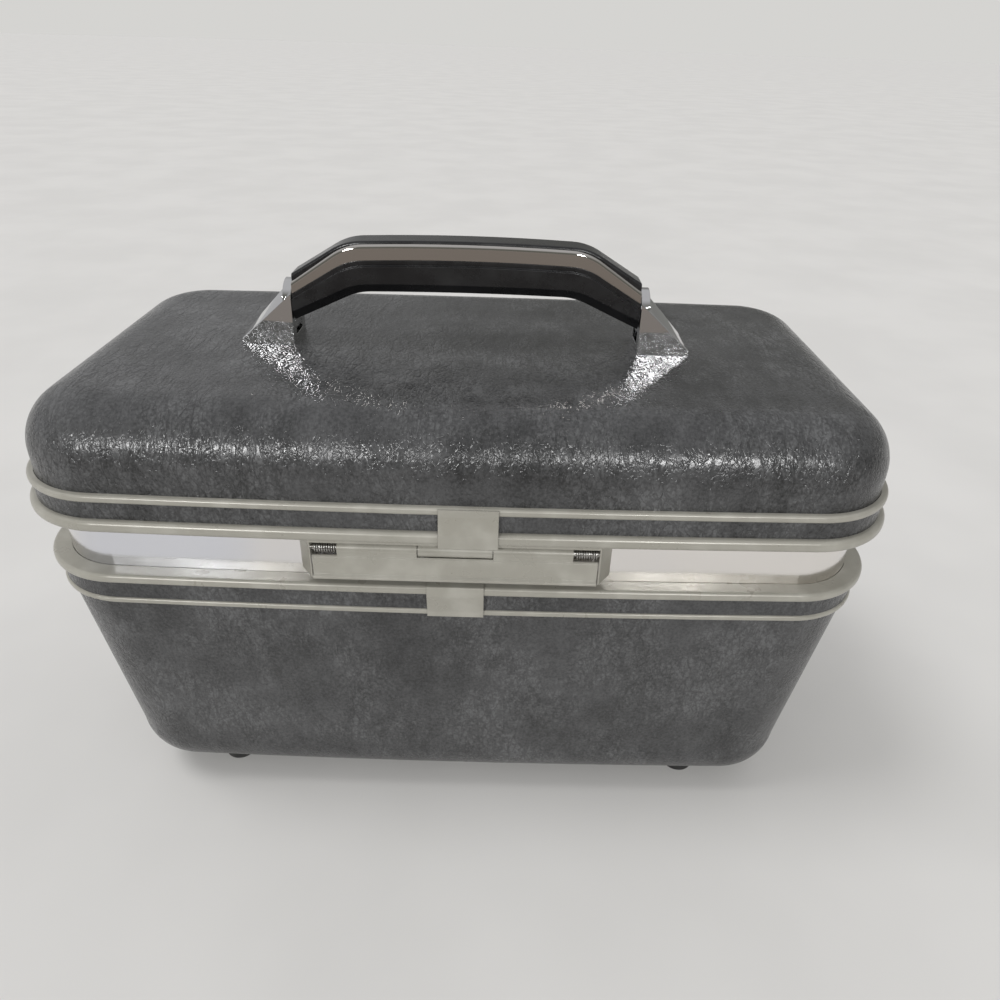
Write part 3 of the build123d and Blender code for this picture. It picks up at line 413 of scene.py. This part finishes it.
def tray_plastic():
    """Pale grey vacuum-formed plastic."""
    material, tree, shader = start_material("tray_plastic")
    where = place(tree)
    swirl = noise(tree, where, 40.0, roughness=0.6, distortion=1.4)
    colour = ramp(tree, swirl, 0.3, 0.75, TRAY_GREY, TRAY_PALE)
    bump(tree, shader, [(noise(tree, where, 1100.0, detail=2.0), 0.00003)], edge_round=0.0005)
    shade(tree, shader, colour, 0.38)
    return material


def mirror():
    """Silvered glass with faint smears."""
    material, tree, shader = start_material("mirror")
    smears = noise(tree, place(tree), 55.0, detail=5.0, roughness=0.65, distortion=0.8)
    gloss = spread(tree, smears, 0.01, 0.05, start=0.45, end=0.8)
    shade(tree, shader, MIRROR_SILVER, gloss, Metallic=1.0)
    return material


FINISHES = {
    made.__name__: made()
    for made in (
        grained_shell, taupe_frame, polished_band, bright_trim, black_grip,
        foot_rubber, plated_steel, lining_cloth, tray_plastic, mirror,
    )
}


def finish_nodes():
    """Every carried-over node takes its record's finish, and the grip's bright strips a darker,
    warmer chrome: a painted reflection.
    """
    slot_of = {entry["node"]: entry["material_slot"] for entry in frame["record"]["subparts"]}
    for name, node in nodes.items():
        node.data.materials.clear()
        node.data.materials.append(FINISHES[slot_of[name]])
    # the grip's chrome strips are tinted darker and warmer: painted reflection
    reflection_tinted = bright_trim("reflection_tinted_trim", CHROME_PAINTED_REFLECTION)
    for name in ("handle_chrome_front", "handle_chrome_back"):
        nodes[name].data.materials[0] = reflection_tinted


# ================================================================= piece helpers
def start_piece(name):
    """The object that a primitive operator has just added, named and with its place in its mesh."""
    piece = bpy.context.object
    piece.name = name
    bpy.ops.object.transform_apply(location=True, rotation=True, scale=True)
    return piece


def choose_edges(piece, wanted):
    """Edit mode, with only the edges selected that wanted(first end, second end) picks."""
    bpy.ops.object.mode_set(mode="EDIT")
    bpy.ops.mesh.select_mode(type="EDGE")
    bpy.ops.mesh.select_all(action="DESELECT")
    bpy.ops.object.mode_set(mode="OBJECT")
    points = piece.data.vertices
    for edge in piece.data.edges:
        edge.select = wanted(*(points[index].co for index in edge.vertices))
    bpy.ops.object.mode_set(mode="EDIT")


def apply_modifier(piece, kind, **settings):
    """A modifier of that kind is put on the piece and applied."""
    made = piece.modifiers.new(kind.lower(), kind)
    for key, value in settings.items():
        setattr(made, key, value)
    bpy.ops.object.modifier_apply(modifier=made.name)


def smooth_out(factor, repeat):
    """The active piece's vertices move towards the middle of their neighbours."""
    bpy.ops.object.mode_set(mode="EDIT")
    bpy.ops.mesh.select_all(action="SELECT")
    bpy.ops.mesh.vertices_smooth(factor=factor, repeat=repeat)
    bpy.ops.object.mode_set(mode="OBJECT")


def face_outwards():
    """The active piece's faces all point outwards."""
    bpy.ops.object.mode_set(mode="EDIT")
    bpy.ops.mesh.select_all(action="SELECT")
    bpy.ops.mesh.normals_make_consistent(inside=False)
    bpy.ops.object.mode_set(mode="OBJECT")


def finish_piece(piece, finish, body):
    """The piece gets its finish and rides on its body."""
    piece.data.materials.clear()
    piece.data.materials.append(FINISHES[finish])
    bpy.ops.object.shade_smooth()
    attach(piece, body)


def smoothstep(low, high, value):
    """0 up to low, 1 from high on, and a smooth rise between them."""
    share = min(1.0, max(0.0, (value - low) / (high - low)))
    return share * share * (3 - 2 * share)


# ================================================================= quilted linings
def rounded(over_a, over_b):
    """A point of a square's quarter, drawn in to the quarter disc in it."""
    reach = max(over_a, over_b) / math.hypot(over_a, over_b)
    return over_a * reach, over_b * reach


def is_on_border(first, second):
    """Whether both ends of an edge lie on one side of a square of side 2."""
    return any(
        abs(abs(first[axis]) - 1) < NEAR and abs(abs(second[axis]) - 1) < NEAR
        and first[axis] * second[axis] > 0
        for axis in (0, 1)
    )


def tub_place(x, y, height, half, lean):
    """Where a point of a square-sided box of half size 1 goes in a tub with rounded corners."""
    inset = max(0.0, min((1 - abs(x)) * half[0], (1 - abs(y)) * half[1]))
    new_inset = inset
    if height < LINING_EDGE and inset < LINING_EDGE:
        out, down = rounded(LINING_EDGE - inset, LINING_EDGE - height)
        new_inset, height = LINING_EDGE - out, LINING_EDGE - down
    size = [half[axis] + lean[axis] * height for axis in (0, 1)]
    plan = []
    for axis, value in enumerate((x, y)):
        ring = 1 - inset / half[axis]
        share = value / ring if ring > 0 else 0.0
        plan.append(share * (size[axis] - new_inset))
    straight = [size[axis] - LINING_CORNER for axis in (0, 1)]
    over = [abs(plan[axis]) - straight[axis] for axis in (0, 1)]
    if min(over) > 0:
        over = rounded(*over)
        plan = [math.copysign(straight[axis] + over[axis], plan[axis]) for axis in (0, 1)]
    return plan[0], plan[1], height


def lining_tub(name, middle, rim, half, lean):
    """A tub of one skin, upright or upside down.

    middle and rim are the heights of its floor and its open side, half its half sizes at the
    floor's height, and lean how much they grow with the way towards the rim.
    """
    bpy.ops.object.select_all(action="DESELECT")
    bpy.ops.mesh.primitive_grid_add(
        x_subdivisions=round(2 * half[0] / LINING_STEP),
        y_subdivisions=round(2 * half[1] / LINING_STEP),
        size=2, location=(0, 0, middle),
    )
    piece = start_piece(name)
    tall = abs(rim - middle)
    choose_edges(piece, is_on_border)
    bpy.ops.mesh.extrude_region_move(TRANSFORM_OT_translate={"value": (0, 0, rim - middle)})
    bpy.ops.object.mode_set(mode="OBJECT")
    choose_edges(piece, lambda first, second: abs(first.z - second.z) > 0.5 * tall)
    bpy.ops.mesh.subdivide(number_cuts=round(tall / LINING_STEP))
    bpy.ops.object.mode_set(mode="OBJECT")
    side = math.copysign(1, rim - middle)
    for point in piece.data.vertices:
        x, y, z = point.co
        x, y, height = tub_place(x, y, (z - middle) * side, half, lean)
        point.co = (x, y, middle + side * height)
    return piece


def diamonds(a, b, pitch):
    """0 on the seams of a diamond quilting and 1 in the middle of each diamond."""
    crown = abs(math.sin(math.pi * (a + b) / pitch) * math.sin(math.pi * (a - b) / pitch))
    return min(1.0, QUILT_FULL * crown ** QUILT_STEEP)


def way_round(x, y, size, straight, quarter):
    """How far a point is from the middle of a long side, on the way round a quarter of the case."""
    if x > straight[0] and y > straight[1]:
        return straight[0] + LINING_CORNER * math.atan2(x - straight[0], y - straight[1])
    if y > straight[1] or y / size[1] > x / size[0]:
        return x
    return quarter - y


def quilt(piece, size, rim):
    """The seams of the quilting are pressed outwards; the piece's "seam" says where and how deep, for
    painted shade.
    """
    straight = [size[axis] - LINING_CORNER for axis in (0, 1)]
    quarter = straight[0] + LINING_CORNER * math.pi / 2 + straight[1]
    pitch = 2 * quarter / round(2 * quarter / QUILT_PITCH)
    centre = Vector((0, 0, rim))
    moves = []
    for point in piece.data.vertices:
        x, y, z = abs(point.co.x), abs(point.co.y), point.co.z
        outward = point.normal if point.normal.dot(point.co - centre) > 0 else -point.normal
        flat = smoothstep(*FLAT_NORMAL, abs(outward.z))
        wall = 1 - smoothstep(*WALL_NORMAL, abs(outward.z))
        along = way_round(x, y, size, straight, quarter)
        puff = wall * diamonds(along, z - rim, pitch) + flat * diamonds(x, y, pitch)
        hem = smoothstep(0.0, HEM, abs(rim - z))
        moves.append(outward * QUILT_DEPTH * (1 - puff * hem))
    seam = piece.data.attributes.new("seam", "FLOAT", "POINT")
    for point, move, mark in zip(piece.data.vertices, moves, seam.data):
        point.co += move
        mark.value = (move.length / QUILT_DEPTH) ** 3


def quilted_lining(name, node, body, middle, rim, half, lean):
    """Padded lining with a diamond quilting, pressed in to the case at its seams."""
    piece = lining_tub(name, middle, rim, half, lean)
    apply_modifier(piece, "SHRINKWRAP", target=nodes[node])
    smooth_out(factor=0.5, repeat=4)
    face_outwards()
    low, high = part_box(node)
    quilt(piece, [(high[axis] - low[axis]) / 2 - LINING_THICK for axis in (0, 1)], rim)
    apply_modifier(piece, "SOLIDIFY", thickness=SKIN_THICK, offset=1.0)
    face_outwards()
    finish_piece(piece, "lining_cloth", body)
    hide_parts(node)


def add_linings():
    """The linings of base and lid, the lid's upside down."""
    low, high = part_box("base_lining")
    quilted_lining(
        "quilted_base_lining", "base_lining", "base",
        middle=low.z + TUB_INSET, rim=high.z - RIM_INSET,
        half=BASE_TUB_HALF, lean=BASE_TUB_LEAN,
    )
    low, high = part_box("lid_lining")
    quilted_lining(
        "quilted_lid_lining", "lid_lining", "lid",
        middle=high.z - TUB_INSET, rim=low.z + RIM_INSET,
        half=(high.x - TUB_INSET, high.y - TUB_INSET), lean=(0, 0),
    )


# ================================================================= pocket and springs
def pocket_skin(name, low, high, forward):
    """A strip of gathered cloth on the back wall, from one height to another."""
    near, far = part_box("side_pocket")
    bpy.ops.object.select_all(action="DESELECT")
    bpy.ops.mesh.primitive_grid_add(
        x_subdivisions=round(2 * far.x / POCKET_STEP),
        y_subdivisions=max(4, round((high - low) / (2.5 * POCKET_STEP))), size=2,
    )
    piece = start_piece(name)
    for point in piece.data.vertices:
        x = point.co.x * far.x
        z = low + (high - low) * (point.co.y + 1) / 2
        share = (z - near.z) / (far.z - near.z)
        wall = POCKET_WALL + POCKET_LEAN * (z - near.z)
        ends = smoothstep(0.0, POCKET_SEWN, far.x - abs(x))
        full = POCKET_FULL - POCKET_DRAWN_IN * smoothstep(0.3, 0.95, share)
        full *= smoothstep(-0.02, 0.22, share)
        wander = 1.2 * math.sin(x * 90.0) + 0.8 * math.sin(x * 215.0 + 2.0)    # no two alike
        pleat = math.sin(x * 2 * math.pi / PLEAT_PITCH + wander) * (0.25 + 0.75 * share)
        sag = math.sin(x * 2 * math.pi / SAG_PITCH + 1.0) * (1 - share) * 0.5
        depth = ends * (full + PLEAT_DEPTH * (pleat + sag)) + forward
        point.co = (x, wall - depth, z)
    return piece


def gathered_pocket():
    """Elastic pocket: a gathered sheet, sewn at its foot and ends, under a shirred casing."""
    low, high = (corner.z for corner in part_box("side_pocket"))
    cloth = pocket_skin("pocket_cloth", low, high - CASING_ABOVE, POCKET_CLOTH)
    apply_modifier(cloth, "SOLIDIFY", thickness=POCKET_CLOTH, offset=0.0)
    face_outwards()
    finish_piece(cloth, "lining_cloth", "base")
    casing = pocket_skin("pocket_casing", high - CASING_TALL, high, CASING_FORWARD)
    apply_modifier(casing, "SOLIDIFY", thickness=CASING_THICK, offset=0.0)
    apply_modifier(casing, "BEVEL", width=CASING_EDGE, segments=2, limit_method="ANGLE")
    face_outwards()
    finish_piece(casing, "lining_cloth", "base")
    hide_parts("side_pocket")


def coil_springs():
    """The two springs on the latch's pin, wound from wire."""
    low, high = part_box("latch_springs")
    start = min(point.co.x for point in nodes["latch_springs"].data.vertices if point.co.x > 0)
    outer = (high.z - low.z) / 2
    bpy.ops.object.select_all(action="DESELECT")
    bpy.ops.mesh.primitive_circle_add(
        vertices=WIRE_SIDES, radius=SPRING_WIRE / 2,
        location=(outer - SPRING_WIRE / 2, 0, 0), rotation=(math.pi / 2, 0, 0),
    )
    spring = start_piece("spring_right")
    apply_modifier(
        spring, "SCREW", angle=2 * math.pi * SPRING_TURNS,
        screw_offset=high.x - start - SPRING_WIRE,
        steps=SPRING_TURNS * TURN_STEPS, render_steps=SPRING_TURNS * TURN_STEPS,
        use_smooth_shade=True,
    )
    bpy.ops.object.mode_set(mode="EDIT")
    bpy.ops.mesh.select_mode(type="EDGE")
    bpy.ops.mesh.select_all(action="DESELECT")
    bpy.ops.mesh.select_non_manifold()
    bpy.ops.mesh.edge_face_add()    # closes the wire's two ends
    bpy.ops.object.mode_set(mode="OBJECT")
    on_pin = Matrix.Translation((start + SPRING_WIRE / 2, (low.y + high.y) / 2, (low.z + high.z) / 2))
    spring.data.transform(on_pin @ Matrix.Rotation(math.pi / 2, 4, "Y"))
    face_outwards()
    finish_piece(spring, "plated_steel", "lid")
    other = spring.copy()
    other.data = spring.data.copy()
    other.name = "spring_left"
    scene.collection.objects.link(other)
    half_turn = Matrix.Rotation(math.pi, 4, "Z")
    other.data.transform(half_turn @ Matrix.Translation((0, -(low.y + high.y), 0)))
    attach(other, "lid")
    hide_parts("latch_springs")
    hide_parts("latch_springs")


# ================================================================= floor, light and camera
def add_floor():
    """A wide pale floor with a faint cloudy tone, which gloss sees go dark in front of the case: a
    painted dark reflection.
    """
    bpy.ops.object.select_all(action="DESELECT")
    bpy.ops.mesh.primitive_circle_add(vertices=96, radius=FLOOR_RADIUS, fill_type="NGON")
    floor = bpy.context.object
    floor.name = "floor"
    material, tree, shader = start_material("pale_floor")
    tone = noise(tree, place(tree), 6.0, detail=3.0)
    lighter = tuple(FLOOR_LIGHTER * part for part in FLOOR_COLOUR[:3])
    pale = ramp(tree, tone, 0.3, 0.7, FLOOR_COLOUR, (*lighter, 1))
    across = add_node(tree, "ShaderNodeSeparateXYZ", {0: place(tree)}).outputs["Y"]
    past_end = spread(tree, across, 1.0, 0.0, *GLOSS_FLOOR_END)
    seen_by_gloss = add_node(tree, "ShaderNodeLightPath").outputs["Is Glossy Ray"]
    # the floor turns dark for glossy rays only, past GLOSS_FLOOR_END: a painted dark reflection
    painted_darkening = math_node(tree, "MULTIPLY", past_end, seen_by_gloss)
    shade(tree, shader, mixed(tree, painted_darkening, pale, GLOSS_PAINTED_DARK), 0.85)
    floor.data.materials.append(material)


def add_world():
    """Pale room, dimmer in front of the case, low behind it and on its right.

    What the camera itself sees of it is even, like the floor.
    """
    world = bpy.data.worlds.new("studio")
    scene.world = world
    world.use_nodes = True
    tree = world.node_tree
    coords = add_node(tree, "ShaderNodeTexCoord")
    way = add_node(tree, "ShaderNodeSeparateXYZ", {0: coords.outputs["Generated"]}).outputs
    in_front = math_node(
        tree, "MULTIPLY",
        spread(tree, way["Y"], 1.0, 0.0, start=-0.65, end=0.1),
        spread(tree, way["Z"], 1.0, 0.0, start=0.55, end=0.90),
    )
    low_behind = math_node(
        tree, "MULTIPLY",
        spread(tree, way["Y"], 0.0, 1.0, start=0.3, end=0.7),
        spread(tree, way["Z"], 1.0, 0.0, start=0.4, end=0.7),
    )
    behind = math_node(
        tree, "MULTIPLY", low_behind, spread(tree, way["X"], 0.15, 0.8, start=-0.35, end=0.05),
    )
    on_right = spread(tree, way["X"], 0.0, 0.65, start=0.35, end=0.8)
    dim = math_node(tree, "MAXIMUM", math_node(tree, "ADD", in_front, behind), on_right)
    room = mixed(tree, dim, WORLD_PALE, WORLD_DIM)
    seen_by_camera = add_node(tree, "ShaderNodeLightPath").outputs["Is Camera Ray"]
    background = tree.nodes["Background"]
    tree.links.new(mixed(tree, seen_by_camera, room, WORLD_SEEN), background.inputs["Color"])
    background.inputs["Strength"].default_value = WORLD_STRENGTH


def add_sun(name, towards, strength, width, glint=True):
    """A soft sun, width degrees across, in the direction towards, with or without glints."""
    data = bpy.data.lights.new(name, "SUN")
    data.energy = strength
    data.angle = math.radians(width)
    lamp = bpy.data.objects.new(name, data)
    scene.collection.objects.link(lamp)
    lamp.rotation_euler = (-Vector(towards)).to_track_quat("-Z", "Y").to_euler()
    lamp.visible_glossy = glint


def add_camera():
    """The photograph's viewpoint, angle and lens."""
    ahead = Vector((
        math.sin(CAMERA_YAW) * math.cos(CAMERA_PITCH),
        math.cos(CAMERA_YAW) * math.cos(CAMERA_PITCH),
        -math.sin(CAMERA_PITCH),
    ))
    level = Vector((math.cos(CAMERA_YAW), -math.sin(CAMERA_YAW), 0))
    above = level.cross(ahead)
    right = level * math.cos(CAMERA_ROLL) + above * math.sin(CAMERA_ROLL)
    up = above * math.cos(CAMERA_ROLL) - level * math.sin(CAMERA_ROLL)
    data = bpy.data.cameras.new("camera")
    data.lens = CAMERA_LENS
    data.sensor_width = CAMERA_SENSOR
    data.clip_start = 0.01
    camera = bpy.data.objects.new("camera", data)
    scene.collection.objects.link(camera)
    turned = Matrix((right, up, -ahead)).transposed()
    camera.matrix_world = Matrix.Translation(CAMERA_PLACE) @ turned.to_4x4()
    scene.camera = camera


# ================================================================= the scene
finish_nodes()
add_linings()
gathered_pocket()
coil_springs()

add_floor()
add_world()
add_sun("left_window", towards=(-0.38, -0.82, 0.44), strength=1.1, width=8.0)
add_sun("right_window", towards=(0.25, -0.85, 0.48), strength=0.95, width=6.5)
add_sun("above", towards=(-0.46, -0.02, 0.88), strength=0.9, width=24.0, glint=False)
add_camera()
scene.view_settings.view_transform = "Standard"
